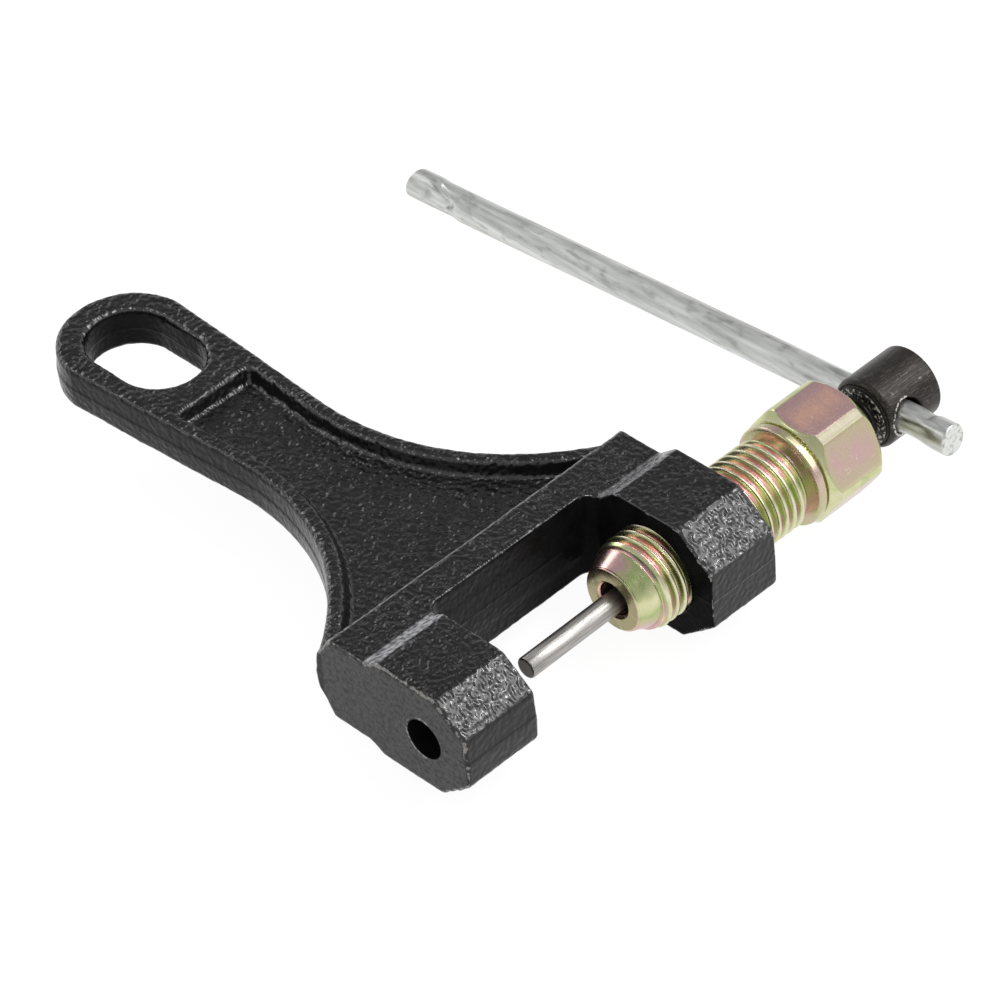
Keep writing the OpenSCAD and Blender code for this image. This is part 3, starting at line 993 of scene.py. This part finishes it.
def spring_steel():
    """Drawn wire, grey and lightly oiled."""
    material, tree, shader = new_material("spring_steel", 0.3, 1)
    cloud = noise(tree, millimetres(tree), 0.8, 2)
    colour = ramp(tree, cloud, [(0.3, (0.3, 0.3, 0.31)), (0.7, (0.5, 0.5, 0.5))])
    drive(tree, shader, Base_Color=colour)
    return material


def black_oxide():
    """Brown-black oxide with fine light lines along the screw, and a coarse forged face with bright specks
    that are partly painted glints.
    """
    material, tree, shader = new_material("black_oxide", 0.36, 0.6)
    place = millimetres(tree)
    face, rim = attribute(tree, "rough_face"), attribute(tree, "rim")
    lines = noise(tree, millimetres(tree, (1, 0.05, 1)), 0.16, 4, 0.75)
    colour = ramp(
        tree,
        lines,
        [(0.38, (0.012, 0.010, 0.009)), (0.56, (0.032, 0.027, 0.024)), (0.74, (0.16, 0.14, 0.13))],
    )
    marks = scratches(tree, place, 1.6, 0.006)
    colour = mix(tree, calculate(tree, "MULTIPLY", marks, 0.5), colour, (0.5, 0.47, 0.43))
    specks = noise(tree, place, 0.4, 2)
    bright = ramp(tree, specks, [(0.42, 0.0), (0.52, 1.0)])
    rim_share = mix(tree, 1, rim, bright, "MULTIPLY")
    colour = mix(tree, rim_share, colour, (0.62, 0.60, 0.57))
    # bright specks on the rough face: partly its pale grains, partly painted glints
    grains_and_glints = noise(tree, place, 0.6, 2)
    grains_and_glints = ramp(tree, grains_and_glints, [(0.5, (0.02, 0.02, 0.02)), (0.64, (0.7, 0.68, 0.64))])
    colour = mix(tree, face, colour, grains_and_glints)
    relief = bump(tree, noise(tree, place, 0.5, 2), 0.4, face)
    relief = bump(tree, lines, 0.012, 1, relief)
    drive(tree, shader, Base_Color=colour, Normal=relief)
    return material


def white_zinc():
    """Mottled bright zinc, streaked along the bar, with speckled sheared ends."""
    material, tree, shader = new_material("white_zinc", 0.42, 1)
    place = millimetres(tree)
    streaks = noise(tree, millimetres(tree, (0.05, 1, 1)), 1.1, 4, 0.55)
    mottle = noise(tree, millimetres(tree, (0.4, 1, 1)), 1.6, 4, 0.5)
    colour = ramp(tree, streaks, [(0.3, (0.46, 0.47, 0.45)), (0.65, (0.72, 0.73, 0.71))])
    stains = ramp(tree, mottle, [(0.3, (0.55, 0.55, 0.53)), (0.46, (1.0, 1.0, 1.0))])
    colour = mix(tree, 0.7, colour, stains, "MULTIPLY")
    specks = noise(tree, place, 0.8, 4)
    specks = ramp(tree, specks, [(0.34, (0.42, 0.42, 0.40)), (0.5, (0.70, 0.71, 0.68))])
    colour = mix(tree, attribute(tree, "cut"), colour, specks)
    gloss = ramp(tree, mottle, [(0.3, 0.34), (0.7, 0.5)])
    relief = bump(tree, mottle, 0.06)
    relief = bump(tree, noise(tree, place, 0.5, 2), 0.012, 1, relief)
    drive(tree, shader, Base_Color=colour, Roughness=gloss, Normal=relief)
    return material


# ------------------------------------------------------------------ stage


# degrees
CAMERA_AZIMUTH, CAMERA_ELEVATION, CAMERA_ROLL = 48.12, 41.05, -5.05
CAMERA_TARGET, CAMERA_SHIFT, CAMERA_DISTANCE = (0, 20, 0), (-13.14, 22.02), 951.44
CAMERA_LENS, CAMERA_SENSOR = 198, 36
FLOOR_SIZE = 12
# name, direction from the tool, distance and size in metres, radiance
SOFTBOXES = [
    ("right_back", (0.56, 0.50, 0.66), 1.2, 0.9, 2.4),
    ("sparkle", (0.30, 0.42, 0.86), 1.1, 0.18, 22),
    ("overhead", (-0.05, 0.42, 0.9), 1.2, 0.35, 3),
    ("left_back", (-0.9, 0.15, 0.42), 1.3, 0.4, 3),
    ("left_front", (-0.5, -0.6, 0.7), 1.4, 0.5, 2),
]


def build_camera():
    """A long lens in front of the jaws, to the right of the handle and above it."""
    azimuth, elevation = math.radians(CAMERA_AZIMUTH), math.radians(CAMERA_ELEVATION)
    roll = math.radians(CAMERA_ROLL)
    back = Vector(
        (
            math.sin(azimuth) * math.cos(elevation),
            -math.cos(azimuth) * math.cos(elevation),
            math.sin(elevation),
        )
    )
    level = Vector((math.cos(azimuth), math.sin(azimuth), 0))
    upright = back.cross(level)
    right = level * math.cos(roll) + upright * math.sin(roll)
    up = upright * math.cos(roll) - level * math.sin(roll)
    target = Vector(CAMERA_TARGET) + CAMERA_SHIFT[0] * right + CAMERA_SHIFT[1] * up
    data = bpy.data.cameras.new("camera")
    data.lens = CAMERA_LENS
    data.sensor_width = CAMERA_SENSOR
    camera = bpy.data.objects.new("camera", data)
    bpy.context.scene.collection.objects.link(camera)
    place = (target + CAMERA_DISTANCE * back) * MM
    camera.matrix_world = Matrix.Translation(place) @ Matrix((right, up, back)).transposed().to_4x4()
    bpy.context.scene.camera = camera


def build_floor():
    """A wide white table, bright enough that only contact shadows show."""
    material, _, shader = new_material("floor_paper", 0.7, 0)
    shader.inputs["Base Color"].default_value = (0.1, 0.1, 0.1, 1)
    shader.inputs["Emission Color"].default_value = (1, 1, 1, 1)
    shader.inputs["Emission Strength"].default_value = 0.94
    bpy.ops.mesh.primitive_plane_add(size=FLOOR_SIZE, location=(0, 0, cad_bounds[0][2]))
    floor = bpy.context.object
    floor.name = "floor"
    floor.data.materials.append(material)


def softbox(name, way, distance, size, radiance):
    """A square light seen from the object in direction way."""
    data = bpy.data.lights.new(name, "AREA")
    data.shape = "SQUARE"
    data.size = size
    data.energy = radiance * math.pi * size * size
    light = bpy.data.objects.new(name, data)
    bpy.context.scene.collection.objects.link(light)
    way = Vector(way).normalized()
    light.location = way * distance
    light.rotation_euler = (-way).to_track_quat("-Z", "Y").to_euler()


def build_world():
    """A soft studio: bright at the horizon and dimmer above."""
    world = bpy.data.worlds.new("studio")
    bpy.context.scene.world = world
    world.use_nodes = True
    tree = world.node_tree
    sky = tree.nodes["Background"]
    way = add(tree, "ShaderNodeTexCoord").outputs["Generated"]
    height = add(tree, "ShaderNodeSeparateXYZ", {"Vector": way}).outputs["Z"]
    light = ramp(tree, height, [(0.1, 0.8), (0.5, 0.5), (0.9, 0.5)])
    tree.links.new(light, sky.inputs["Color"])
    sky.inputs["Strength"].default_value = 1


bpy.context.scene.view_settings.view_transform = "Standard"
build_camera()
build_floor()
build_world()
for settings in SOFTBOXES:
    softbox(*settings)

build_casting()
build_bolt()
build_pin()
build_spring()
build_screw()
build_bar()
